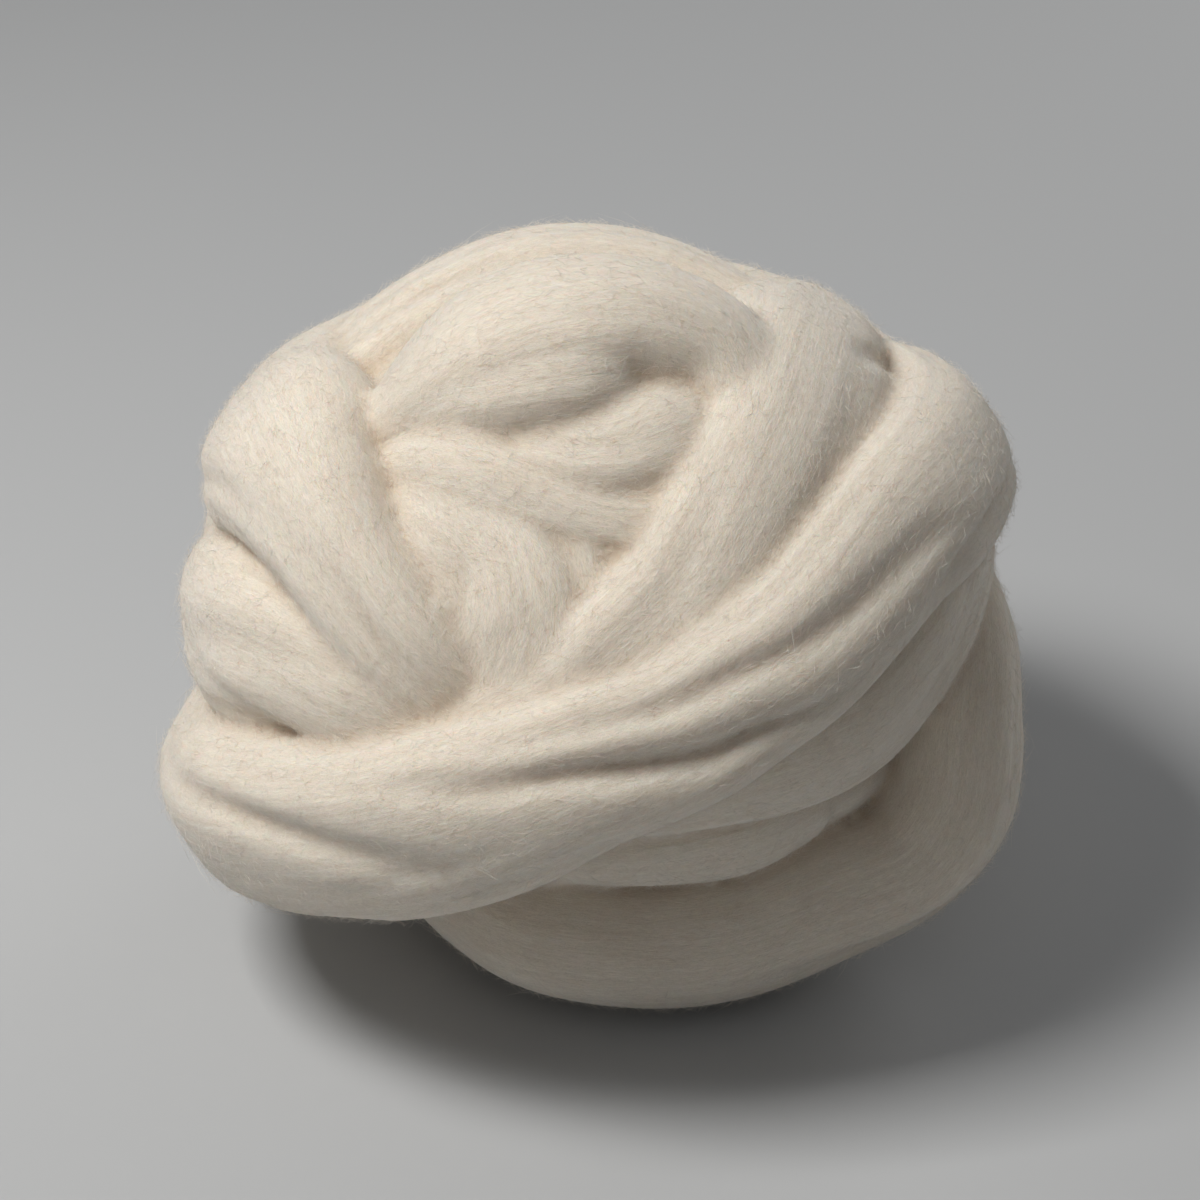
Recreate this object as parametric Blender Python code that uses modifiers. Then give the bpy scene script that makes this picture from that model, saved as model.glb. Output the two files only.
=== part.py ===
"""A loose ball of combed wool roving: one soft solid of its wound form, resting on a small flat spot.

Sizes are in millimetres and turned into metres when the mesh is made. Each turn of the roving is a
flattened strand that runs through a short table of stations. The stations are given in the ball's
face frame, which leans back by FACE_LEAN: right, up along the face, and out of the face, from the
middle of the ball.
"""

from collections import namedtuple

import bmesh
import bpy
import numpy as np

MM = 0.001
FACE_LEAN = 33.0

# The packed middle of the ball, and the older turns that lie on it.
CORE_RADII = np.array((84.0, 72.0, 86.0))
CORE_MIDDLE = np.array((0.0, 16.0, -7.0))
INNER_WIDTH = 66.0
INNER_THICK = 22.0
INNER_STATIONS = 12

# The whole ball, which sets the way that a flattened strand faces.
BALL_RADII = np.array((120.0, 112.0, 104.0))

# Steps of the curve between two stations, the corners of a strand's ring, and how square-edged it is.
STATION_STEPS = 5
SIDES = 20
FULLNESS = 0.84

# The skin round all the strands, and the flat spot that the ball rests on.
VOXEL = 4.0
TRIANGLES = 8400
REST_BELOW_MIDDLE = 101.0
CUTTER_SIDE = 400.0
CUTTER_DEPTH = 40.0

Station = namedtuple("Station", "right up out width thick")
Turn = namedtuple("Turn", "name closed stations")
InnerTurn = namedtuple("InnerTurn", "heading dip")

TURNS = (
    Turn("outer_band", True, (
        Station(8, 40, -80, 62, 34),
        Station(48, 54, -64, 58, 34),
        Station(84, 58, -26, 52, 34),
        Station(98, 48, 14, 50, 34),
        Station(90, 33, 48, 48, 34),
        Station(77, 20, 66, 46, 34),
        Station(55, -5, 83, 44, 34),
        Station(38, -18, 87, 44, 34),
        Station(20, -30, 87, 45, 34),
        Station(-3, -39, 85, 46, 35),
        Station(-24, -48, 78, 50, 36),
        Station(-46, -54, 68, 52, 37),
        Station(-69, -56, 50, 54, 38),
        Station(-92, -54, 22, 56, 38),
        Station(-98, -44, -14, 50, 38),
        Station(-84, -24, -52, 56, 34),
        Station(-48, 8, -80, 60, 34),
    )),
    Turn("second_band", True, (
        Station(-52, -52, 38, 32, 26),
        Station(-60, -62, 0, 36, 28),
        Station(-58, -50, -46, 48, 30),
        Station(-38, -22, -82, 54, 32),
        Station(-6, 12, -94, 56, 32),
        Station(28, 44, -84, 52, 32),
        Station(52, 66, -54, 42, 32),
        Station(62, 76, -14, 42, 34),
        Station(58, 70, 22, 54, 36),
        Station(54, 60, 46, 54, 36),
        Station(47, 42, 66, 47, 36),
        Station(36, 22, 77, 43, 35),
        Station(25, 6, 81, 38, 34),
        Station(10, -8, 84, 36, 32),
        Station(-4, -19, 80, 34, 30),
        Station(-20, -27, 74, 32, 28),
        Station(-38, -36, 62, 32, 26),
    )),
    Turn("rim", True, (
        Station(-78, 48, 0, 44, 34),
        Station(-62, 66, 2, 46, 34),
        Station(-43, 81, 2, 50, 34),
        Station(-20, 92, -2, 48, 34),
        Station(2, 94, -3, 48, 34),
        Station(24, 89, -4, 48, 34),
        Station(44, 77, -6, 46, 34),
        Station(68, 52, -18, 40, 30),
        Station(90, 24, -20, 46, 32),
        Station(102, -2, -12, 50, 34),
        Station(104, -26, -4, 54, 36),
        Station(102, -50, -6, 54, 40),
        Station(89, -67, -9, 52, 40),
        Station(64, -78, -8, 50, 42),
        Station(40, -87, -6, 48, 42),
        Station(16, -90, -4, 46, 41),
        Station(-8, -88, -2, 44, 38),
        Station(-26, -81, -12, 36, 34),
        Station(-48, -66, -40, 34, 30),
        Station(-78, -42, -46, 36, 30),
        Station(-94, 0, -28, 38, 30),
        Station(-92, 28, -12, 40, 32),
    )),
    Turn("over_the_back", False, (
        Station(12, -42, 49, 36, 28),
        Station(34, -38, 53, 38, 30),
        Station(54, -33, 49, 40, 30),
        Station(71, -25, 41, 40, 30),
        Station(84, -11, 32, 40, 30),
        Station(93, 6, 26, 40, 30),
        Station(98, 28, 8, 40, 30),
        Station(88, 56, -22, 42, 32),
        Station(56, 78, -42, 54, 34),
        Station(10, 86, -44, 60, 34),
        Station(-40, 78, -38, 60, 34),
        Station(-76, 62, -16, 54, 34),
        Station(-84, 50, 14, 58, 36),
        Station(-79, 44, 41, 56, 36),
        Station(-71, 30, 58, 44, 34),
        Station(-61, 14, 68, 35, 32),
        Station(-51, 0, 73, 33, 30),
        Station(-40, -12, 72, 31, 30),
        Station(-26, -24, 66, 22, 24),
    )),
    Turn("left_lobe", False, (
        Station(-30, -31, 64, 22, 22),
        Station(-44, -26, 66, 28, 26),
        Station(-58, -20, 64, 34, 30),
        Station(-72, -13, 56, 38, 32),
        Station(-86, -7, 42, 46, 35),
        Station(-95, -1, 20, 50, 36),
        Station(-96, 4, -18, 50, 34),
        Station(-80, 6, -60, 56, 34),
        Station(-35, 2, -92, 62, 34),
        Station(20, -4, -96, 64, 34),
        Station(65, -14, -78, 64, 36),
        Station(88, -30, -48, 64, 36),
        Station(88, -50, -26, 50, 32),
        Station(74, -66, -20, 40, 28),
        Station(54, -74, -18, 30, 22),
    )),
    Turn("heart", False, (
        Station(-60, 43, 40, 14, 14),
        Station(-50, 51, 50, 24, 22),
        Station(-37, 61, 58, 36, 30),
        Station(-22, 70, 64, 43, 34),
        Station(-6, 75, 65, 45, 35),
        Station(13, 76, 62, 40, 34),
        Station(31, 69, 58, 36, 32),
        Station(40, 54, 60, 34, 30),
        Station(36, 40, 64, 34, 28),
        Station(25, 30, 70, 34, 28),
        Station(9, 28, 74, 34, 28),
        Station(-8, 33, 73, 36, 28),
        Station(-24, 40, 69, 36, 28),
        Station(-40, 43, 60, 30, 24),
        Station(-54, 40, 48, 18, 16),
    )),
    Turn("heart_fold", False, (
        Station(-56, 46, 42, 12, 12),
        Station(-46, 52, 53, 22, 20),
        Station(-33, 58, 63, 30, 25),
        Station(-18, 61, 70, 34, 28),
        Station(-3, 63, 72, 32, 28),
        Station(9, 64, 66, 24, 22),
        Station(22, 64, 58, 15, 14),
    )),
    Turn("heart_tip", False, (
        Station(34, 60, 54, 14, 12),
        Station(27, 52, 65, 27, 22),
        Station(17, 46, 73, 31, 27),
        Station(3, 42, 75, 29, 26),
        Station(-12, 45, 72, 25, 23),
        Station(-28, 47, 64, 23, 20),
        Station(-43, 48, 56, 18, 16),
        Station(-54, 46, 46, 10, 10),
    )),
    Turn("centre_lobe", False, (
        Station(-44, 34, 58, 28, 22),
        Station(-33, 25, 68, 42, 28),
        Station(-20, 13, 74, 50, 32),
        Station(-17, 1, 76, 56, 34),
        Station(-21, -11, 73, 48, 32),
        Station(-27, -24, 65, 28, 24),
    )),
    Turn("inner_knob", False, (
        Station(-8, -63, 22, 26, 20),
        Station(8, -61, 24, 32, 26),
        Station(25, -59, 26, 36, 28),
        Station(42, -56, 24, 34, 28),
        Station(60, -49, 16, 30, 24),
    )),
    Turn("underside", True, (
        Station(0, -26, -100, 46, 30),
        Station(56, -36, -80, 44, 30),
        Station(76, -62, -40, 44, 28),
        Station(40, -84, -40, 40, 26),
        Station(-26, -78, -46, 40, 26),
        Station(-60, -60, -50, 38, 26),
        Station(-84, -50, -22, 40, 30),
        Station(-56, -32, -78, 44, 30),
    )),
)

INNER_HEADINGS = (
    InnerTurn(20, 10),
    InnerTurn(80, -25),
    InnerTurn(140, 35),
    InnerTurn(0, 75),
    InnerTurn(60, 60),
)


def through_stations(rows, closed, steps):
    """Rows of a smooth curve through the stations, Catmull-Rom, `steps` to each interval."""
    rows = np.array(rows, float)
    if closed:
        padded = np.vstack([rows[-1:], rows, rows[:2]])
        intervals = len(rows)
    else:
        padded = np.vstack([2 * rows[:1] - rows[1:2], rows, 2 * rows[-1:] - rows[-2:-1]])
        intervals = len(rows) - 1
    found = []
    for start in range(intervals):
        before, a, b, after = padded[start:start + 4]
        for step in range(steps):
            t = step / steps
            found.append(0.5 * (2 * a + (b - before) * t
                                + (2 * before - 5 * a + 4 * b - after) * t ** 2
                                + (3 * a - before - 3 * b + after) * t ** 3))
    if not closed:
        found.append(rows[-1])
    return np.array(found)


def face_axes():
    """The face frame's right, up and out axes in the ball's own frame."""
    lean = np.radians(FACE_LEAN)
    right = (1.0, 0.0, 0.0)
    up = (0.0, np.sin(lean), np.cos(lean))
    out = (0.0, -np.cos(lean), np.sin(lean))
    return np.array((right, up, out))


def inner_turns():
    """The older turns under the outer ones: great circles round the core, one for each heading."""
    turns = []
    for heading, dip in INNER_HEADINGS:
        heading, dip = np.radians((heading, dip))
        level = np.array((np.cos(heading), np.sin(heading), 0))
        climbing = np.array((-np.sin(heading) * np.sin(dip), np.cos(heading) * np.sin(dip), np.cos(dip)))
        stations = []
        for angle in np.linspace(0, 2 * np.pi, INNER_STATIONS, endpoint=False):
            point = CORE_RADII * (level * np.cos(angle) + climbing * np.sin(angle)) + CORE_MIDDLE
            stations.append(Station(*(face_axes() @ point), INNER_WIDTH, INNER_THICK))
        turns.append(Turn("inner", True, stations))
    return tuple(turns)


def full(share):
    """Fills out an ellipse's cosine or sine, so that a strand's section is rounder at its edges."""
    return np.sign(share) * np.abs(share) ** FULLNESS


def unit(vectors):
    return vectors / np.linalg.norm(vectors, axis=1)[:, None]


def add_strand(mesh, turn):
    """Lofts one turn: a ring of vertices around each point of its curve, with the ends capped."""
    rows = through_stations(turn.stations, turn.closed, STATION_STEPS)
    centres = rows[:, :3] @ face_axes()
    if turn.closed:
        run = np.roll(centres, -1, axis=0) - np.roll(centres, 1, axis=0)
    else:
        run = np.gradient(centres, axis=0)
    along = unit(run)
    outward = centres / BALL_RADII ** 2
    outward = unit(outward - along * (outward * along).sum(axis=1)[:, None])
    across = np.cross(along, outward)
    rings = []
    for centre, side, out, row in zip(centres, across, outward, rows):
        ring = []
        for turned in np.linspace(0, 2 * np.pi, SIDES, endpoint=False):
            sideways = row[3] / 2 * full(np.cos(turned))
            outwards = row[4] / 2 * full(np.sin(turned))
            ring.append(mesh.verts.new((centre + side * sideways + out * outwards) * MM))
        rings.append(ring)
    pairs = list(zip(rings, rings[1:]))
    if turn.closed:
        pairs.append((rings[-1], rings[0]))
    else:
        mesh.faces.new(rings[0][::-1])
        mesh.faces.new(rings[-1])
    for ring, following in pairs:
        for i in range(SIDES):
            j = (i + 1) % SIDES
            mesh.faces.new((ring[i], ring[j], following[j], following[i]))


def wound_mesh():
    """All the turns and the core that they are wound on, still as overlapping shapes."""
    mesh = bmesh.new()
    for turn in TURNS + inner_turns():
        add_strand(mesh, turn)
    core = bmesh.ops.create_icosphere(mesh, subdivisions=4, radius=1.0)
    for vertex in core["verts"]:
        vertex.co = (CORE_RADII * vertex.co + CORE_MIDDLE) * MM
    bmesh.ops.recalc_face_normals(mesh, faces=mesh.faces)
    made = bpy.data.meshes.new("turns")
    mesh.to_mesh(made)
    mesh.free()
    return made


def evaluated_copy(obj, name):
    """A new mesh of the object with its modifiers applied."""
    graph = bpy.context.evaluated_depsgraph_get()
    made = bpy.data.meshes.new_from_object(obj.evaluated_get(graph))
    made.name = name
    return made


def keep_outer_skin(made):
    """Removes every skin but the outer one, so no hollow is sealed inside."""
    mesh = bmesh.new()
    mesh.from_mesh(made)
    left = set(mesh.verts)
    skins = []
    while left:
        reached = [left.pop()]
        for vertex in reached:
            near = {edge.other_vert(vertex) for edge in vertex.link_edges} & left
            left -= near
            reached.extend(near)
        skins.append(reached)
    skins.sort(key=len)
    for skin in skins[:-1]:
        bmesh.ops.delete(mesh, geom=skin, context="VERTS")
    mesh.to_mesh(made)
    mesh.free()


def corners(made):
    points = np.empty(len(made.vertices) * 3)
    made.vertices.foreach_get("co", points)
    return points.reshape(-1, 3)


def new_collection(name):
    made = bpy.data.collections.new(name)
    bpy.context.scene.collection.children.link(made)
    return made


def wool_material():
    material = bpy.data.materials.new("cream_wool")
    material.use_nodes = True
    shader = material.node_tree.nodes["Principled BSDF"]
    shader.inputs["Base Color"].default_value = (0.88, 0.83, 0.74, 1.0)
    shader.inputs["Roughness"].default_value = 0.9
    shader.inputs["Metallic"].default_value = 0.0
    return material


def floor_cutter(collection):
    """A box whose top is the surface that the ball rests on."""
    bpy.ops.mesh.primitive_cube_add(size=1.0, location=(0, 0, -CUTTER_DEPTH / 2 * MM))
    cutter = bpy.context.object
    cutter.name = "floor_cutter"
    cutter.scale = (CUTTER_SIDE * MM, CUTTER_SIDE * MM, CUTTER_DEPTH * MM)
    for owner in list(cutter.users_collection):
        owner.objects.unlink(cutter)
    collection.objects.link(cutter)
    cutter.hide_render = True
    cutter.display_type = "WIRE"
    return cutter


def main():
    for obj in list(bpy.data.objects):
        bpy.data.objects.remove(obj)
    parts = new_collection("wool_roving_ball")
    cutters = new_collection("cutters")

    ball = bpy.data.objects.new("wound_roving", wound_mesh())
    parts.objects.link(ball)
    union = ball.modifiers.new("union", "REMESH")
    union.mode = "VOXEL"
    union.voxel_size = VOXEL * MM
    skin = evaluated_copy(ball, "wound_roving")
    ball.modifiers.clear()
    ball.data = skin
    keep_outer_skin(skin)

    thinner = ball.modifiers.new("thinner", "DECIMATE")
    thinner.ratio = TRIANGLES / (2 * len(skin.polygons))
    skin = evaluated_copy(ball, "wound_roving")
    ball.modifiers.clear()
    ball.data = skin
    points = corners(skin)
    middle = (points.max(axis=0) + points.min(axis=0)) / 2
    points -= (middle[0], middle[1], -REST_BELOW_MIDDLE * MM)
    skin.vertices.foreach_set("co", points.reshape(-1))
    skin.update()
    skin.materials.clear()
    skin.materials.append(wool_material())
    skin.shade_smooth()

    flat = ball.modifiers.new("flat_spot", "BOOLEAN")
    flat.operation = "DIFFERENCE"
    flat.solver = "EXACT"
    flat.object = floor_cutter(cutters)


main()
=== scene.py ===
"""The looks of a loose ball of combed wool roving, on a pale floor under soft studio light.

The ball's turns are lofted from the same stations as the CAD solid, fused into one soft body with its
long furrows, and covered with fine wool fibres that follow the strands. Sizes are in millimetres in
the tables and in metres in the meshes. Face frame: right, up along the face, out of the face.
"""

from collections import namedtuple

import bmesh
import bpy
import numpy as np
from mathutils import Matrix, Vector
from mathutils.bvhtree import BVHTree

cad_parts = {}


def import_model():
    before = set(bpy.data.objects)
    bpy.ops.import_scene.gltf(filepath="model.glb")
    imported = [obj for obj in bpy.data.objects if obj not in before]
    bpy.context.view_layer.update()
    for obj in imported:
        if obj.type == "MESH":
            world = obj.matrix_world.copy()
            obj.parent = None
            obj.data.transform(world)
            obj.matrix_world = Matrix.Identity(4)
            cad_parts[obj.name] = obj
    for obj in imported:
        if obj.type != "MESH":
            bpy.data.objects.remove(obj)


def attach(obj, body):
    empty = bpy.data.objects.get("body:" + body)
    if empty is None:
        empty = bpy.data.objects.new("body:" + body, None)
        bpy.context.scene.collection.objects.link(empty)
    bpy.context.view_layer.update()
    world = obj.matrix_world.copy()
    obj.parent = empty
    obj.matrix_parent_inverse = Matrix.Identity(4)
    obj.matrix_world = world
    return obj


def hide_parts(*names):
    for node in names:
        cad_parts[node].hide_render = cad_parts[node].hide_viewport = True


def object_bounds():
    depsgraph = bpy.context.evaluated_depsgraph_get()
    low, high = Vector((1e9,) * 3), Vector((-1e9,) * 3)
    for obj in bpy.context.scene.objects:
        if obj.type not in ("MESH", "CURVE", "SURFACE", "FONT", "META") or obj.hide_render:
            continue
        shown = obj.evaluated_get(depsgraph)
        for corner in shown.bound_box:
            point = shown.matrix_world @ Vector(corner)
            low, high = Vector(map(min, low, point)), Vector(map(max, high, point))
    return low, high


MM = 0.001
FACE_LEAN = 33.0

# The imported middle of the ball, and the older turns that lie on it.
CORE_RADII = np.array((84.0, 72.0, 86.0))
CORE_MIDDLE = np.array((0.0, 16.0, -7.0))
INNER_WIDTH = 66.0
INNER_THICK = 22.0
INNER_STATIONS = 12

# The whole ball, which sets the way that a flattened strand faces.
BALL_RADII = np.array((120.0, 112.0, 104.0))

# The gap between a strand's rings, the corners of a ring, and how square-edged it is.
RING_STEP = 2.0
SIDES = 64
FULLNESS = 0.84

# The skin round all the strands, and the rounds that soften it.
VOXEL = 1.7
SOFTENING = 2
LOWEST_POINT = 0.3

# A crease is where the skin lies this far or more under its smoothed self; the creases get a painted
# warm shade.
CREASE_ROUNDS = 24
CREASE_REACH = 2.5

# Shallow furrows at random places, for each eight stations of a turn.
LOOSE_FURROWS = 11
LOOSE_SEED = 11

# Fibres start a little under the skin.
FIBRE_SEED = 5
FIBRE_RINGS = 2
FIBRE_ROOT = 0.15
PIECE_FIBRES = 16000
BARE_BELOW = 4.0

# Each strand's noise is read from its own place, this many metres from the next strand's.
STRAND_APART = 0.3

LENS = 100.0
SENSOR = 36.0
CAMERA_AIM = (3.5, 4.7)
CAMERA_DISTANCE = 0.94
WORLD_COLOUR = (0.95, 0.97, 1.0, 1)
WORLD_STRENGTH = 0.12
FLOOR_SIZE = 20.0
FLOOR_COLOUR = (0.50, 0.51, 0.52, 1)

FIBRE_COLOUR = (0.86, 0.80, 0.72, 1)
# Painted warm shade, laid into the creases in place of their shadow and scattered glow.
CREASE_PAINTED_SHADE = (0.62, 0.48, 0.35, 1)
SHEEN_TINT = (1.0, 0.97, 0.92, 1)
DARK_STRAND = (0.82, 0.74, 0.63, 1)
LIGHT_STRAND = (0.88, 0.81, 0.705, 1)
# The dark end of the fibre speckle is painted shade in the gaps between fibres.
PAINTED_SHADE_BETWEEN_FIBRES = (0.69, 0.675, 0.65, 1)
ON_A_FIBRE = (1.0, 1.0, 1.0, 1)

Station = namedtuple("Station", "right up out width thick")
Turn = namedtuple("Turn", "name closed stations")
InnerTurn = namedtuple("InnerTurn", "heading dip")
Furrow = namedtuple("Furrow", "turn start end start_angle end_angle depth width")
Fibres = namedtuple("Fibres", "count length lift stray curl thick")
Streak = namedtuple("Streak", "across along detail turned")
Relief = namedtuple("Relief", "streak height strength")
Lamp = namedtuple("Lamp", "name place target size power colour")

TURNS = (
    Turn("outer_band", True, (
        Station(8, 40, -80, 62, 34),
        Station(48, 54, -64, 58, 34),
        Station(84, 58, -26, 52, 34),
        Station(98, 48, 14, 50, 34),
        Station(90, 33, 48, 48, 34),
        Station(77, 20, 66, 46, 34),
        Station(55, -5, 83, 44, 34),
        Station(38, -18, 87, 44, 34),
        Station(20, -30, 87, 45, 34),
        Station(-3, -39, 85, 46, 35),
        Station(-24, -48, 78, 50, 36),
        Station(-46, -54, 68, 52, 37),
        Station(-69, -56, 50, 54, 38),
        Station(-92, -54, 22, 56, 38),
        Station(-98, -44, -14, 50, 38),
        Station(-84, -24, -52, 56, 34),
        Station(-48, 8, -80, 60, 34),
    )),
    Turn("second_band", True, (
        Station(-52, -52, 38, 32, 26),
        Station(-60, -62, 0, 36, 28),
        Station(-58, -50, -46, 48, 30),
        Station(-38, -22, -82, 54, 32),
        Station(-6, 12, -94, 56, 32),
        Station(28, 44, -84, 52, 32),
        Station(52, 66, -54, 42, 32),
        Station(62, 76, -14, 42, 34),
        Station(58, 70, 22, 54, 36),
        Station(54, 60, 46, 54, 36),
        Station(47, 42, 66, 47, 36),
        Station(36, 22, 77, 43, 35),
        Station(25, 6, 81, 38, 34),
        Station(10, -8, 84, 36, 32),
        Station(-4, -19, 80, 34, 30),
        Station(-20, -27, 74, 32, 28),
        Station(-38, -36, 62, 32, 26),
    )),
    Turn("rim", True, (
        Station(-78, 48, 0, 44, 34),
        Station(-62, 66, 2, 46, 34),
        Station(-43, 81, 2, 50, 34),
        Station(-20, 92, -2, 48, 34),
        Station(2, 94, -3, 48, 34),
        Station(24, 89, -4, 48, 34),
        Station(44, 77, -6, 46, 34),
        Station(68, 52, -18, 40, 30),
        Station(90, 24, -20, 46, 32),
        Station(102, -2, -12, 50, 34),
        Station(104, -26, -4, 54, 36),
        Station(102, -50, -6, 54, 40),
        Station(89, -67, -9, 52, 40),
        Station(64, -78, -8, 50, 42),
        Station(40, -87, -6, 48, 42),
        Station(16, -90, -4, 46, 41),
        Station(-8, -88, -2, 44, 38),
        Station(-26, -81, -12, 36, 34),
        Station(-48, -66, -40, 34, 30),
        Station(-78, -42, -46, 36, 30),
        Station(-94, 0, -28, 38, 30),
        Station(-92, 28, -12, 40, 32),
    )),
    Turn("over_the_back", False, (
        Station(12, -42, 49, 36, 28),
        Station(34, -38, 53, 38, 30),
        Station(54, -33, 49, 40, 30),
        Station(71, -25, 41, 40, 30),
        Station(84, -11, 32, 40, 30),
        Station(93, 6, 26, 40, 30),
        Station(98, 28, 8, 40, 30),
        Station(88, 56, -22, 42, 32),
        Station(56, 78, -42, 54, 34),
        Station(10, 86, -44, 60, 34),
        Station(-40, 78, -38, 60, 34),
        Station(-76, 62, -16, 54, 34),
        Station(-84, 50, 14, 58, 36),
        Station(-79, 44, 41, 56, 36),
        Station(-71, 30, 58, 44, 34),
        Station(-61, 14, 68, 35, 32),
        Station(-51, 0, 73, 33, 30),
        Station(-40, -12, 72, 31, 30),
        Station(-26, -24, 66, 22, 24),
    )),
    Turn("left_lobe", False, (
        Station(-30, -31, 64, 22, 22),
        Station(-44, -26, 66, 28, 26),
        Station(-58, -20, 64, 34, 30),
        Station(-72, -13, 56, 38, 32),
        Station(-86, -7, 42, 46, 35),
        Station(-95, -1, 20, 50, 36),
        Station(-96, 4, -18, 50, 34),
        Station(-80, 6, -60, 56, 34),
        Station(-35, 2, -92, 62, 34),
        Station(20, -4, -96, 64, 34),
        Station(65, -14, -78, 64, 36),
        Station(88, -30, -48, 64, 36),
        Station(88, -50, -26, 50, 32),
        Station(74, -66, -20, 40, 28),
        Station(54, -74, -18, 30, 22),
    )),
    Turn("heart", False, (
        Station(-60, 43, 40, 14, 14),
        Station(-50, 51, 50, 24, 22),
        Station(-37, 61, 58, 36, 30),
        Station(-22, 70, 64, 43, 34),
        Station(-6, 75, 65, 45, 35),
        Station(13, 76, 62, 40, 34),
        Station(31, 69, 58, 36, 32),
        Station(40, 54, 60, 34, 30),
        Station(36, 40, 64, 34, 28),
        Station(25, 30, 70, 34, 28),
        Station(9, 28, 74, 34, 28),
        Station(-8, 33, 73, 36, 28),
        Station(-24, 40, 69, 36, 28),
        Station(-40, 43, 60, 30, 24),
        Station(-54, 40, 48, 18, 16),
    )),
    Turn("heart_fold", False, (
        Station(-56, 46, 42, 12, 12),
        Station(-46, 52, 53, 22, 20),
        Station(-33, 58, 63, 30, 25),
        Station(-18, 61, 70, 34, 28),
        Station(-3, 63, 72, 32, 28),
        Station(9, 64, 66, 24, 22),
        Station(22, 64, 58, 15, 14),
    )),
    Turn("heart_tip", False, (
        Station(34, 60, 54, 14, 12),
        Station(27, 52, 65, 27, 22),
        Station(17, 46, 73, 31, 27),
        Station(3, 42, 75, 29, 26),
        Station(-12, 45, 72, 25, 23),
        Station(-28, 47, 64, 23, 20),
        Station(-43, 48, 56, 18, 16),
        Station(-54, 46, 46, 10, 10),
    )),
    Turn("centre_lobe", False, (
        Station(-44, 34, 58, 28, 22),
        Station(-33, 25, 68, 42, 28),
        Station(-20, 13, 74, 50, 32),
        Station(-17, 1, 76, 56, 34),
        Station(-21, -11, 73, 48, 32),
        Station(-27, -24, 65, 28, 24),
    )),
    Turn("inner_knob", False, (
        Station(-8, -63, 22, 26, 20),
        Station(8, -61, 24, 32, 26),
        Station(25, -59, 26, 36, 28),
        Station(42, -56, 24, 34, 28),
        Station(60, -49, 16, 30, 24),
    )),
    Turn("underside", True, (
        Station(0, -26, -100, 46, 30),
        Station(56, -36, -80, 44, 30),
        Station(76, -62, -40, 44, 28),
        Station(40, -84, -40, 40, 26),
        Station(-26, -78, -46, 40, 26),
        Station(-60, -60, -50, 38, 26),
        Station(-84, -50, -22, 40, 30),
        Station(-56, -32, -78, 44, 30),
    )),
)

INNER_HEADINGS = (
    InnerTurn(20, 10),
    InnerTurn(80, -25),
    InnerTurn(140, 35),
    InnerTurn(0, 75),
    InnerTurn(60, 60),
)

FURROWS = (
    Furrow("outer_band", 4.2, 9.9, 108, 30, 3.4, 2.6),
    Furrow("outer_band", 5.6, 10.8, 136, 44, 4.8, 2.8),
    Furrow("outer_band", 7.6, 11.6, 160, 110, 2.2, 5.0),
    Furrow("outer_band", 3.2, 5.4, 120, 140, 2.4, 5.0),
    Furrow("outer_band", 10.3, 13.6, 104, 22, 4.4, 4.2),
    Furrow("outer_band", 11.4, 14.6, 150, 110, 2.6, 4.5),
    Furrow("second_band", 8.2, 11.6, 110, 140, 1.2, 6.0),
    Furrow("second_band", 10.4, 14.6, 60, 100, 1.8, 5.0),
    Furrow("second_band", 7.1, 8.8, 160, 110, 2.8, 3.4),
    Furrow("rim", 0.2, 3.2, 60, 20, 3.0, 4.0),
    Furrow("rim", 10.4, 14.2, 80, 40, 2.4, 5.0),
    Furrow("rim", 13.0, 17.2, 120, 70, 1.8, 5.0),
    Furrow("over_the_back", 11.2, 14.4, 30, 60, 3.0, 4.5),
    Furrow("over_the_back", 13.4, 17.6, 70, 95, 1.6, 4.0),
    Furrow("over_the_back", 2.2, 5.6, 60, 100, 2.4, 5.0),
    Furrow("left_lobe", 2.0, 5.6, 60, 105, 2.2, 5.0),
    Furrow("left_lobe", 3.0, 6.6, 130, 110, 1.8, 5.0),
    Furrow("heart", 3.4, 6.4, 66, 50, 1.4, 6.0),
    Furrow("heart", 1.6, 4.2, 300, 330, 2.4, 3.5),
    Furrow("heart", 7.6, 12.8, 52, 66, 3.6, 2.2),
    Furrow("heart", 7.8, 12.2, 84, 92, 3.0, 2.0),
    Furrow("heart_fold", 0.6, 4.4, 120, 100, 1.2, 3.0),
    Furrow("heart_tip", 1.6, 5.6, 110, 120, 2.0, 2.2),
    Furrow("centre_lobe", 0.4, 3.4, 120, 130, 3.0, 4.0),
    Furrow("centre_lobe", 1.2, 4.6, 60, 75, 2.2, 5.0),
)

# The nap that lies along the strands, the short halo, and a few longer strays. Lengths, lifts and
# thicknesses are from and to, and stray and curl are in radians and shares of the length.
FIBRE_GROUPS = (
    Fibres(14000, (6, 14), (0.1, 0.6), 0.35, 0.16, (0.04, 0.07)),
    Fibres(49000, (2.5, 6.5), (0.5, 2.6), 0.8, 0.30, (0.045, 0.075)),
    Fibres(700, (9, 22), (1.5, 5.5), 0.9, 0.30, (0.06, 0.085)),
)

# Noise drawn out along the strand, turned some degrees off it: the first three are single fibres, with
# painted shade between them.
STREAKS = {
    "straight": Streak(0.28, 2.6, 2, 4),
    "crossing": Streak(0.22, 1.4, 2, 42),
    "other_way": Streak(0.22, 1.3, 2, -38),
    "middle": Streak(0.9, 14, 3, 0),
    "strands": Streak(2.2, 60, 2, 0),
    "broad": Streak(6, 45, 2, 0),
}
RELIEFS = (
    Relief("broad", 0.9, 0.4),
    Relief("strands", 1.2, 0.2),
    Relief("middle", 0.3, 0.35),
    Relief("fibres", 0.4, 0.75),
)

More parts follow.
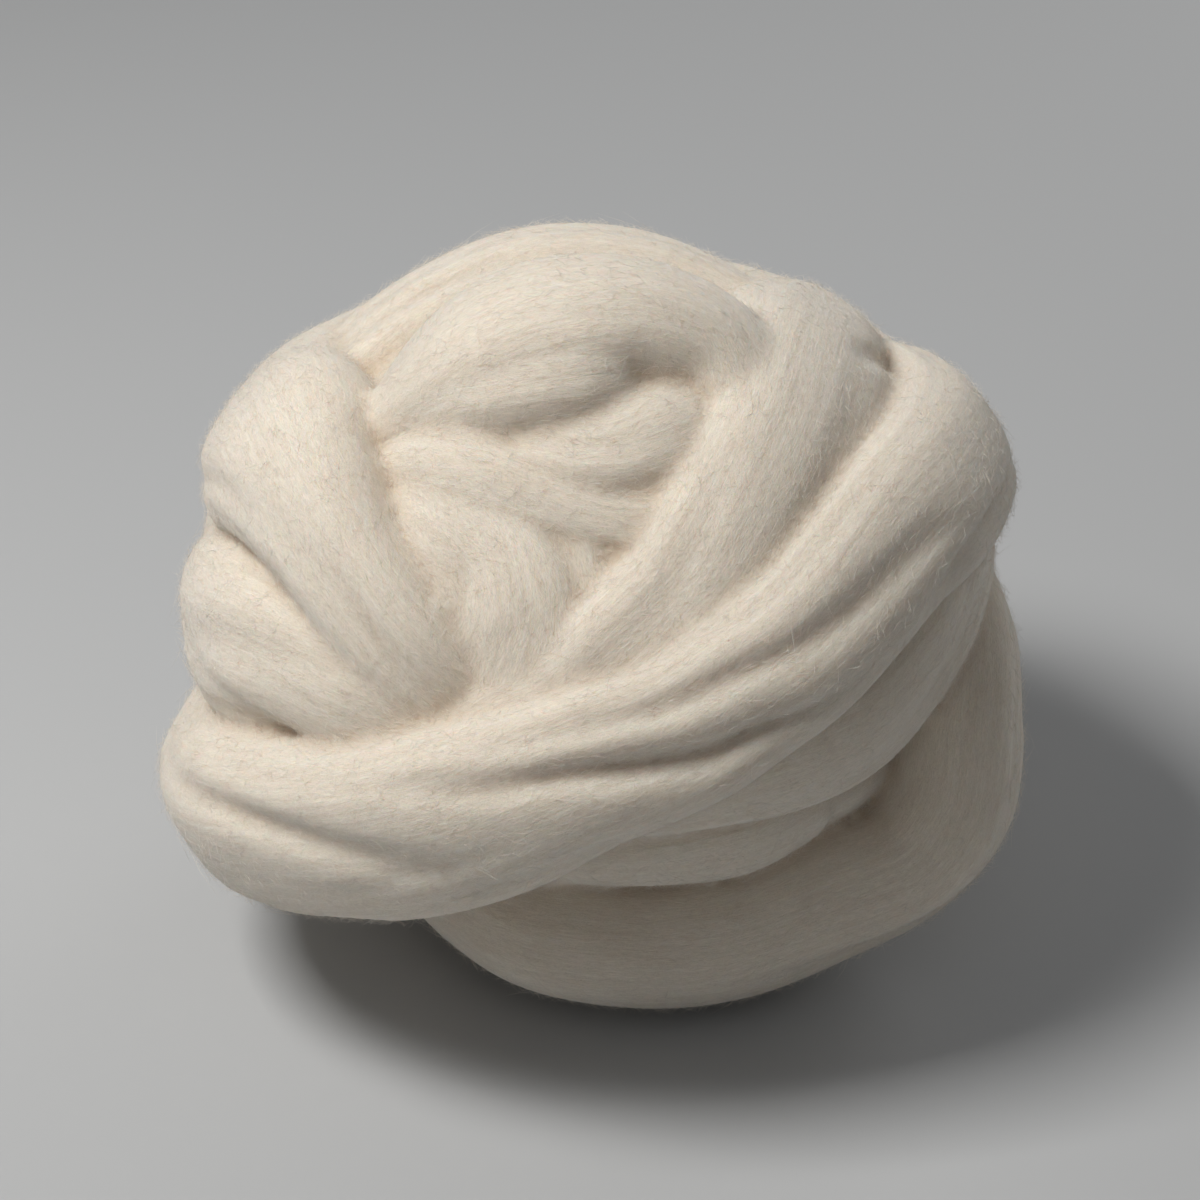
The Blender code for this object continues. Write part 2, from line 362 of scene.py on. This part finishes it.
LAMPS = (
    Lamp("key", (-0.64, -0.22, 1.25), (0, 0, 0.1), 0.42, 15.5, (1.0, 0.98, 0.95)),
    Lamp("fill", (0.25, -1.2, 1.7), (0, 0, 0.08), 1.2, 1.2, (1.0, 0.98, 0.95)),
    Lamp("back", (0.8, 0.95, 0.6), (0, 0, 0.1), 0.7, 3.2, (1.0, 0.99, 0.97)),
)


def through_stations(rows, closed, steps):
    """Rows of a smooth curve through the stations, Catmull-Rom, `steps` to each interval."""
    rows = np.array(rows, float)
    if closed:
        padded = np.vstack([rows[-1:], rows, rows[:2]])
        intervals = len(rows)
    else:
        padded = np.vstack([2 * rows[:1] - rows[1:2], rows, 2 * rows[-1:] - rows[-2:-1]])
        intervals = len(rows) - 1
    found = []
    for start in range(intervals):
        before, a, b, after = padded[start:start + 4]
        for step in range(steps):
            t = step / steps
            found.append(0.5 * (2 * a + (b - before) * t
                                + (2 * before - 5 * a + 4 * b - after) * t ** 2
                                + (3 * a - before - 3 * b + after) * t ** 3))
    if not closed:
        found.append(rows[-1])
    return np.array(found)


def face_axes():
    """The face frame's right, up and out axes in the ball's own frame."""
    lean = np.radians(FACE_LEAN)
    right = (1.0, 0.0, 0.0)
    up = (0.0, np.sin(lean), np.cos(lean))
    out = (0.0, -np.cos(lean), np.sin(lean))
    return np.array((right, up, out))


def inner_turns():
    """The older turns under the outer ones: great circles round the core, one for each heading."""
    turns = []
    for heading, dip in INNER_HEADINGS:
        heading, dip = np.radians((heading, dip))
        level = np.array((np.cos(heading), np.sin(heading), 0))
        climbing = np.array((-np.sin(heading) * np.sin(dip), np.cos(heading) * np.sin(dip), np.cos(dip)))
        stations = []
        for angle in np.linspace(0, 2 * np.pi, INNER_STATIONS, endpoint=False):
            point = CORE_RADII * (level * np.cos(angle) + climbing * np.sin(angle)) + CORE_MIDDLE
            stations.append(Station(*(face_axes() @ point), INNER_WIDTH, INNER_THICK))
        turns.append(Turn("inner", True, stations))
    return tuple(turns)


def full(share):
    """Fills out an ellipse's cosine or sine, so that a strand's section is rounder at its edges."""
    return np.sign(share) * np.abs(share) ** FULLNESS


def unit(vectors):
    return vectors / np.linalg.norm(vectors, axis=-1, keepdims=True)


def steps_for(turn):
    """Steps to each interval of stations, so that rings are about RING_STEP apart."""
    places = np.array(turn.stations)[:, :3]
    gaps = np.linalg.norm(np.diff(places, axis=0), axis=1)
    return max(2, int(round(gaps.mean() / RING_STEP)))


def loose_furrows(turn, rng):
    """Shallow furrows along a turn, each one drifting round the strand as the roving's twist does."""
    last = len(turn.stations)
    furrows = []
    for _ in range(LOOSE_FURROWS * last // 8):
        start = rng.uniform(-1, last - 2)
        angle = rng.uniform(0, 360)
        end = start + rng.uniform(2, 5)
        end_angle = angle + rng.uniform(-50, 20)
        depth, width = rng.uniform(0.5, 1.7), rng.uniform(1.4, 3.6)
        furrows.append(Furrow(turn.name, start, end, angle, end_angle, depth, width))
    return furrows


def furrow_depths(turn, furrows, along, angles, radius):
    """How far each point of a strand is pressed in, in millimetres; along is in stations."""
    total = np.zeros((len(along), len(angles)))
    count = len(turn.stations)
    for row in furrows:
        for lap in ((-count, 0, count) if turn.closed else (0,)):
            share = (along + lap - row.start) / (row.end - row.start)
            fade = np.sin(np.pi * np.clip(share, 0, 1)) ** 0.7
            middle = np.radians(row.start_angle + (row.end_angle - row.start_angle) * share)
            off = (angles[None, :] - middle[:, None] + np.pi) % (2 * np.pi) - np.pi
            total += row.depth * fade[:, None] * np.exp(-(off * radius[:, None] / row.width) ** 2)
    return total


def loft(turn, furrows):
    """One turn as a grid of points in the ball's frame, with how far along and around each one is."""
    steps = steps_for(turn)
    rows = through_stations(turn.stations, turn.closed, steps)
    centres = rows[:, :3] @ face_axes()
    if turn.closed:
        run = np.roll(centres, -1, axis=0) - np.roll(centres, 1, axis=0)
    else:
        run = np.gradient(centres, axis=0)
    along = unit(run)
    outward = centres / BALL_RADII ** 2
    outward = unit(outward - along * (outward * along).sum(axis=1)[:, None])
    across = np.cross(along, outward)
    angles = np.linspace(0, 2 * np.pi, SIDES, endpoint=False)
    half_width = rows[:, 3] / 2
    half_thick = rows[:, 4] / 2
    stations = np.arange(len(rows)) / steps
    pressed = furrow_depths(turn, furrows, stations, angles, (half_width + half_thick) / 2)
    sideways = (half_width[:, None] - pressed) * full(np.cos(angles))
    outwards = (half_thick[:, None] - pressed) * full(np.sin(angles))
    points = (centres[:, None] + across[:, None] * sideways[..., None]
              + outward[:, None] * outwards[..., None])
    travelled = np.concatenate([[0], np.cumsum(np.linalg.norm(np.diff(centres, axis=0), axis=1))])
    place = np.stack([np.repeat(travelled[:, None], SIDES, axis=1), sideways, outwards], axis=-1)
    return {"points": points, "closed": turn.closed, "along": along, "place": place}


def grid_faces(rings, closed):
    """Quads of a tube of rings; an open tube is closed by its end rings."""
    base = np.arange(rings * SIDES).reshape(rings, SIDES)
    ahead = np.roll(base, -1, axis=0)
    if not closed:
        base, ahead = base[:-1], ahead[:-1]
    quads = np.stack([base, np.roll(base, -1, axis=1), np.roll(ahead, -1, axis=1), ahead], axis=-1)
    return quads.reshape(-1, 4).tolist()


def fused_body(lofts):
    """One closed skin round all the strands and the core."""
    points, faces, start = [], [], 0
    for one in lofts:
        rings = len(one["points"])
        points.append(one["points"].reshape(-1, 3))
        faces += [[start + i for i in quad] for quad in grid_faces(rings, one["closed"])]
        if not one["closed"]:
            faces.append([start + i for i in range(SIDES)][::-1])
            faces.append([start + (rings - 1) * SIDES + i for i in range(SIDES)])
        start += rings * SIDES
    mesh = bpy.data.meshes.new("strands")
    mesh.from_pydata((np.vstack(points) * MM).tolist(), [], faces)
    shape = bmesh.new()
    shape.from_mesh(mesh)
    core = bmesh.ops.create_icosphere(shape, subdivisions=5, radius=1.0)
    for vertex in core["verts"]:
        vertex.co = (CORE_RADII * vertex.co + CORE_MIDDLE) * MM
    bmesh.ops.recalc_face_normals(shape, faces=shape.faces)
    shape.to_mesh(mesh)
    shape.free()
    body = bpy.data.objects.new("wool_body", mesh)
    bpy.context.scene.collection.objects.link(body)
    union = body.modifiers.new("union", "REMESH")
    union.mode = "VOXEL"
    union.voxel_size = VOXEL * MM
    graph = bpy.context.evaluated_depsgraph_get()
    fused = bpy.data.meshes.new_from_object(body.evaluated_get(graph))
    body.modifiers.clear()
    body.data = fused
    keep_outer_skin(fused)
    soften(fused, SOFTENING)
    return body


def soften(mesh, rounds):
    """Evens out the mesh, so that strands sink softly into each other."""
    points = smoothed(mesh, rounds)
    mesh.vertices.foreach_set("co", points.reshape(-1))
    mesh.update()


def smoothed(mesh, rounds):
    """The mesh's points after this many rounds of moving each one towards its neighbours."""
    points = read(mesh.vertices, "co", 3)
    edges = np.empty(len(mesh.edges) * 2, int)
    mesh.edges.foreach_get("vertices", edges)
    first, second = edges.reshape(-1, 2).T
    near = np.bincount(edges, minlength=len(points))
    for _ in range(rounds):
        for axis in range(3):
            column = points[:, axis]
            total = (np.bincount(first, column[second], len(points))
                     + np.bincount(second, column[first], len(points)))
            points[:, axis] = 0.4 * column + 0.6 * total / near
    return points


def keep_outer_skin(made):
    """Removes every skin but the outer one."""
    mesh = bmesh.new()
    mesh.from_mesh(made)
    left = set(mesh.verts)
    skins = []
    while left:
        reached = [left.pop()]
        for vertex in reached:
            near = {edge.other_vert(vertex) for edge in vertex.link_edges} & left
            left -= near
            reached.extend(near)
        skins.append(reached)
    skins.sort(key=len)
    for skin in skins[:-1]:
        bmesh.ops.delete(mesh, geom=skin, context="VERTS")
    mesh.to_mesh(made)
    mesh.free()


def read(items, name, width):
    values = np.empty(len(items) * width)
    items.foreach_get(name, values)
    return values.reshape(-1, width)


def add_strand_places(body, lofts):
    """Marks each face's corners with their place in the strand that it shows; returns its direction.

    The place is how far along the strand, and how far sideways and outwards from its middle, in metres.
    """
    mesh = body.data
    tubes = [grid_faces(len(one["points"]), one["closed"]) for one in lofts]
    skins = [one["points"].reshape(-1, 3) * MM for one in lofts]
    trees = [BVHTree.FromPolygons(skin.tolist(), faces) for skin, faces in zip(skins, tubes)]
    starts = np.cumsum([0] + [len(skin) for skin in skins])
    owners = [(number, face[0]) for number, faces in enumerate(tubes) for face in faces]
    joined = [[i + starts[number] for i in face] for number, faces in enumerate(tubes) for face in faces]
    tree = BVHTree.FromPolygons(np.vstack(skins).tolist(), joined)
    centres = read(mesh.polygons, "center", 3)
    vertices = read(mesh.vertices, "co", 3)
    loops = np.empty(len(mesh.loops), int)
    mesh.loops.foreach_get("vertex_index", loops)
    places = np.empty((len(loops), 3))
    direction = np.empty((len(centres), 3))
    known = {}
    for polygon in mesh.polygons:
        number, first = owners[tree.find_nearest(Vector(centres[polygon.index]))[2]]
        direction[polygon.index] = lofts[number]["along"][first // SIDES]
        for loop in polygon.loop_indices:
            key = (number, loops[loop])
            if key not in known:
                spot, _, at, _ = trees[number].find_nearest(Vector(vertices[loops[loop]]))
                known[key] = place_in_quad(lofts[number], skins[number], tubes[number][at], spot)
            places[loop] = known[key] + np.array((0, 0, number * STRAND_APART))
    marks = mesh.attributes.new("strand_place", "FLOAT_VECTOR", "CORNER")
    marks.data.foreach_set("vector", places.reshape(-1))
    return direction


def place_in_quad(one, skin, quad, spot):
    """The place in the strand of a spot on one quad of its tube, in metres."""
    place = one["place"].reshape(-1, 3) * MM
    corner, beside, ahead = (skin[quad[i]] for i in (0, 1, 3))
    offset = np.array(spot) - corner
    shares = [np.dot(offset, edge - corner) / max(np.dot(edge - corner, edge - corner), 1e-12)
              for edge in (beside, ahead)]
    return (place[quad[0]] + shares[0] * (place[quad[1]] - place[quad[0]])
            + np.clip(shares[1], 0, 1) * (place[quad[3]] - place[quad[0]]))


def crease_share(mesh):
    """How far each vertex lies in a crease, from 0 to 1: its depth under the smoothed surface."""
    points = read(mesh.vertices, "co", 3)
    normals = read(mesh.vertices, "normal", 3)
    rise = ((smoothed(mesh, CREASE_ROUNDS) - points) * normals).sum(axis=1)
    return np.clip(rise / (CREASE_REACH * MM), 0, 1)


def rest_in_frame(body, box):
    """Moves the body to where the CAD solid stands, and presses its underside flat on the floor."""
    low, high = (np.array(corner) for corner in box)
    points = read(body.data.vertices, "co", 3)
    shift = (low + high) / 2 - (points.max(axis=0) + points.min(axis=0)) / 2
    shift[2] = high[2] - points[:, 2].max()
    points += shift
    points[:, 2] = np.maximum(points[:, 2], LOWEST_POINT * MM)
    body.data.vertices.foreach_set("co", points.reshape(-1))
    body.data.update()
    return shift


def tube_grid(count):
    """Triangles of one fibre: a point, FIBRE_RINGS rings of three, and a point."""
    faces = []
    for side in range(3):
        after = (side + 1) % 3
        faces.append((0, 1 + after, 1 + side))
        for ring in range(FIBRE_RINGS - 1):
            a = 1 + ring * 3
            faces.append((a + side, a + after, a + 3 + after))
            faces.append((a + side, a + 3 + after, a + 3 + side))
        last = 1 + (FIBRE_RINGS - 1) * 3
        faces.append((last + side, last + after, last + 3))
    faces = np.array(faces)
    per_fibre = 2 + FIBRE_RINGS * 3
    return (faces[None] + np.arange(count)[:, None, None] * per_fibre).reshape(-1, 3)


def fibre_mesh(name, paths, thick):
    """Closed thin spindles along the paths (fibre, point, xyz), a vertex fan at each tip."""
    run = np.gradient(paths, axis=1)
    run = unit(run + 1e-12)
    reference = np.where(np.abs(run[..., 2:]) < 0.9, np.array((0, 0, 1.0)), np.array((1.0, 0, 0)))
    side = unit(np.cross(run, reference))
    other = np.cross(run, side)
    rings = []
    inner = slice(1, -1)
    for turned in (0, 2 * np.pi / 3, 4 * np.pi / 3):
        rings.append(paths[:, inner] + thick[:, None, None] / 2
                     * (side[:, inner] * np.cos(turned) + other[:, inner] * np.sin(turned)))
    rings = np.stack(rings, axis=2).reshape(len(paths), -1, 3)
    points = np.concatenate([paths[:, :1], rings, paths[:, -1:]], axis=1).reshape(-1, 3)
    points[:, 2] = np.maximum(points[:, 2], 0.0001)
    faces = tube_grid(len(paths))
    mesh = bpy.data.meshes.new(name)
    mesh.vertices.add(len(points))
    mesh.vertices.foreach_set("co", points.reshape(-1))
    mesh.loops.add(faces.size)
    mesh.loops.foreach_set("vertex_index", faces.reshape(-1))
    mesh.polygons.add(len(faces))
    mesh.polygons.foreach_set("loop_start", np.arange(0, faces.size, 3))
    mesh.update(calc_edges=True)
    mesh.shade_smooth()
    return mesh


def fibre_paths(body, direction, rng, count, row):
    """Paths that leave the skin at random places and run with its strands, lifted off it."""
    mesh = body.data
    areas = read(mesh.polygons, "area", 1)[:, 0]
    centres = read(mesh.polygons, "center", 3)
    normals = read(mesh.polygons, "normal", 3)
    areas[centres[:, 2] < BARE_BELOW * MM] = 0
    chosen = rng.choice(len(areas), count, p=areas / areas.sum())
    normal = normals[chosen]
    along = direction[chosen]
    along = unit(along - normal * (along * normal).sum(axis=1)[:, None] + 1e-9)
    side = np.cross(normal, along)
    heading = rng.normal(0, row.stray, count)[:, None]
    run = along * np.cos(heading) + side * np.sin(heading)
    run *= rng.choice((-1.0, 1.0), count)[:, None]
    sway = np.cross(normal, run)
    total = rng.uniform(row.length[0] * MM, row.length[1] * MM, count)
    rise = rng.uniform(row.lift[0] * MM, row.lift[1] * MM, count)
    bend = rng.normal(0, row.curl, count)
    swing = rng.uniform(0, 2 * np.pi, count)
    steps = np.linspace(0, 1, FIBRE_RINGS + 2)
    tree = BVHTree.FromObject(body, bpy.context.evaluated_depsgraph_get())
    paths = np.empty((count, len(steps), 3))
    for k, t in enumerate(steps):
        wave = bend * total * (t ** 2 + 0.25 * np.sin(swing + 5 * t))
        spots = centres[chosen] + run * (total * (t - 0.3))[:, None] + sway * wave[:, None]
        height = rise * t ** 1.6 - FIBRE_ROOT * MM
        for i, spot in enumerate(spots):
            place, up, _, _ = tree.find_nearest(Vector(spot))
            paths[i, k] = place + up * height[i]
    return paths


def new_material(name, roughness):
    """A new material, its node tree, and its shader."""
    material = bpy.data.materials.new(name)
    material.use_nodes = True
    shader = material.node_tree.nodes["Principled BSDF"]
    shader.inputs["Roughness"].default_value = roughness
    return material, material.node_tree, shader


def wool_shader(name):
    """Matt wool with a soft sheen."""
    material, tree, shader = new_material(name, 0.85)
    shader.inputs["Specular IOR Level"].default_value = 0.2
    shader.inputs["Sheen Weight"].default_value = 0.35
    shader.inputs["Sheen Roughness"].default_value = 0.5
    shader.inputs["Sheen Tint"].default_value = SHEEN_TINT
    return material, tree, shader


def fibre_material():
    material, _, shader = wool_shader("wool_fibres")
    shader.inputs["Base Color"].default_value = FIBRE_COLOUR
    return material


def streak_noise(tree, strand, row):
    """Noise drawn out along the strand, as one row of STREAKS says."""
    turn = tree.nodes.new("ShaderNodeVectorRotate")
    turn.rotation_type = "Z_AXIS"
    turn.inputs["Angle"].default_value = np.radians(row.turned)
    place = tree.nodes.new("ShaderNodeMapping")
    across = 1 / (row.across * MM)
    place.inputs["Scale"].default_value = (1 / (row.along * MM), across, across)
    noise = tree.nodes.new("ShaderNodeTexNoise")
    noise.inputs["Scale"].default_value = 1.0
    noise.inputs["Detail"].default_value = row.detail
    noise.inputs["Roughness"].default_value = 0.6
    tree.links.new(strand.outputs["Vector"], turn.inputs["Vector"])
    tree.links.new(turn.outputs["Vector"], place.inputs["Vector"])
    tree.links.new(place.outputs["Vector"], noise.inputs["Vector"])
    return noise.outputs["Fac"]


def ramp(tree, value, low, high, dark, bright):
    """A colour that runs from dark to bright as the value runs from low to high."""
    made = tree.nodes.new("ShaderNodeValToRGB")
    for element, place, colour in zip(made.color_ramp.elements, (low, high), (dark, bright)):
        element.position = place
        element.color = colour
    tree.links.new(value, made.inputs["Fac"])
    return made.outputs["Color"]


def mixed(tree, kind, share, first, second):
    made = tree.nodes.new("ShaderNodeMix")
    made.data_type = "RGBA"
    made.blend_type = kind
    made.inputs["Factor"].default_value = share
    tree.links.new(first, made.inputs["A"])
    tree.links.new(second, made.inputs["B"])
    return made.outputs["Result"]


def painted_shade_in_creases(tree, colour):
    """The colour, turned towards a warm painted shade by the mesh's crease attribute."""
    crease = tree.nodes.new("ShaderNodeAttribute")
    crease.attribute_name = "crease"
    painted_shade = tree.nodes.new("ShaderNodeMix")
    painted_shade.data_type = "RGBA"
    painted_shade.inputs["B"].default_value = CREASE_PAINTED_SHADE
    tree.links.new(crease.outputs["Fac"], painted_shade.inputs["Factor"])
    tree.links.new(colour, painted_shade.inputs["A"])
    return painted_shade.outputs["Result"]


def combed_wool():
    """Combed wool: streaks along the strand in colour and relief, painted shade between the fibres, and
    painted warm shade in the creases.
    """
    material, tree, shader = wool_shader("combed_wool")
    shader.inputs["Subsurface Weight"].default_value = 0.55
    shader.inputs["Subsurface Radius"].default_value = (1.0, 0.62, 0.4)
    shader.inputs["Subsurface Scale"].default_value = 0.006
    strand = tree.nodes.new("ShaderNodeAttribute")
    strand.attribute_name = "strand_place"
    seen = {name: streak_noise(tree, strand, row) for name, row in STREAKS.items()}

    # Painted shade between the fibres: the colour is darkened where all three fibre noises are low; the
    # same noises give the fibres' relief.
    fibre_gap_shade = [ramp(tree, seen[name], 0.36, 0.64, PAINTED_SHADE_BETWEEN_FIBRES, ON_A_FIBRE)
               for name in ("straight", "crossing", "other_way")]
    crossed = mixed(tree, "LIGHTEN", 0.8, fibre_gap_shade[0], fibre_gap_shade[1])
    seen["fibres"] = mixed(tree, "LIGHTEN", 0.8, crossed, fibre_gap_shade[2])
    base = ramp(tree, seen["strands"], 0.3, 0.65, DARK_STRAND, LIGHT_STRAND)
    shade = mixed(tree, "MULTIPLY", 0.75, base, seen["fibres"])
    tree.links.new(painted_shade_in_creases(tree, shade), shader.inputs["Base Color"])

    normal = None
    for row in RELIEFS:
        bump = tree.nodes.new("ShaderNodeBump")
        bump.inputs["Strength"].default_value = row.strength
        bump.inputs["Distance"].default_value = row.height * MM
        tree.links.new(seen[row.streak], bump.inputs["Height"])
        if normal is not None:
            tree.links.new(normal, bump.inputs["Normal"])
        normal = bump.outputs["Normal"]
    tree.links.new(normal, shader.inputs["Normal"])
    return material


def add_piece(name, mesh, material):
    piece = bpy.data.objects.new(name, mesh)
    bpy.context.scene.collection.objects.link(piece)
    mesh.materials.append(material)
    declare(piece)


def declare(piece):
    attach(piece, "root")
    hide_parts("wound_roving")


def add_fibres(body, direction):
    """All the fibres, in a few joined pieces."""
    rng = np.random.default_rng(FIBRE_SEED)
    share = 1.0
    paths, thick = [], []
    for row in FIBRE_GROUPS:
        count = int(row.count * share)
        paths.append(fibre_paths(body, direction, rng, count, row))
        thick.append(rng.uniform(row.thick[0], row.thick[1], count) * MM)
    paths = np.concatenate(paths)
    thick = np.concatenate(thick)
    material = fibre_material()
    in_piece = int(PIECE_FIBRES * share)
    for number, start in enumerate(range(0, len(paths), in_piece)):
        some = slice(start, start + in_piece)
        name = f"wool_fibres_{number + 1}"
        add_piece(name, fibre_mesh(name, paths[some], thick[some]), material)


def add_floor():
    bpy.ops.mesh.primitive_plane_add(size=FLOOR_SIZE)
    floor = bpy.context.object
    floor.name = "floor"
    material, _, shader = new_material("pale_floor", 0.9)
    shader.inputs["Base Color"].default_value = FLOOR_COLOUR
    floor.data.materials.append(material)


def add_lamp(row):
    lamp = bpy.data.lights.new(row.name, "AREA")
    lamp.size = row.size
    lamp.energy = row.power
    lamp.color = row.colour
    light = bpy.data.objects.new(row.name, lamp)
    bpy.context.scene.collection.objects.link(light)
    light.location = row.place
    light.rotation_euler = (Vector(row.target) - Vector(row.place)).to_track_quat("-Z", "Y").to_euler()


def add_camera(middle):
    """A camera that looks straight at the ball's face, from the direction of the out axis."""
    camera_data = bpy.data.cameras.new("camera")
    camera_data.sensor_width = SENSOR
    camera_data.lens = LENS
    camera_data.clip_start = 0.05
    camera_data.clip_end = 20.0
    camera = bpy.data.objects.new("camera", camera_data)
    bpy.context.scene.collection.objects.link(camera)
    right, up, out = face_axes()
    aim = middle + right * CAMERA_AIM[0] * MM + up * CAMERA_AIM[1] * MM
    camera.location = aim + out * CAMERA_DISTANCE
    camera.rotation_euler = Vector(-out).to_track_quat("-Z", "Y").to_euler()
    bpy.context.scene.camera = camera


def add_world():
    world = bpy.data.worlds.new("studio")
    world.use_nodes = True
    background = world.node_tree.nodes["Background"]
    background.inputs["Color"].default_value = WORLD_COLOUR
    background.inputs["Strength"].default_value = WORLD_STRENGTH
    bpy.context.scene.world = world
    bpy.context.scene.view_settings.view_transform = "Standard"


def add_body(cad_box):
    """The fused body of all the strands, where the CAD solid stands.

    Returns it, each face's strand direction, and the place of the ball's middle.
    """
    rng = np.random.default_rng(LOOSE_SEED)
    lofts = []
    for turn in TURNS + inner_turns():
        furrows = [row for row in FURROWS if row.turn == turn.name] + loose_furrows(turn, rng)
        lofts.append(loft(turn, furrows))
    body = fused_body(lofts)
    direction = add_strand_places(body, lofts)
    # How deep each vertex lies in a crease: the mask of the painted warm shade.
    crease = body.data.attributes.new("crease", "FLOAT", "POINT")
    crease.data.foreach_set("value", crease_share(body.data))
    middle = rest_in_frame(body, cad_box)
    body.data.shade_smooth()
    body.data.materials.clear()
    body.data.materials.append(combed_wool())
    declare(body)
    return body, direction, middle


def main():
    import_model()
    cad_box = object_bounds()
    body, direction, middle = add_body(cad_box)
    add_fibres(body, direction)
    add_floor()
    add_world()
    for row in LAMPS:
        add_lamp(row)
    add_camera(middle)


main()
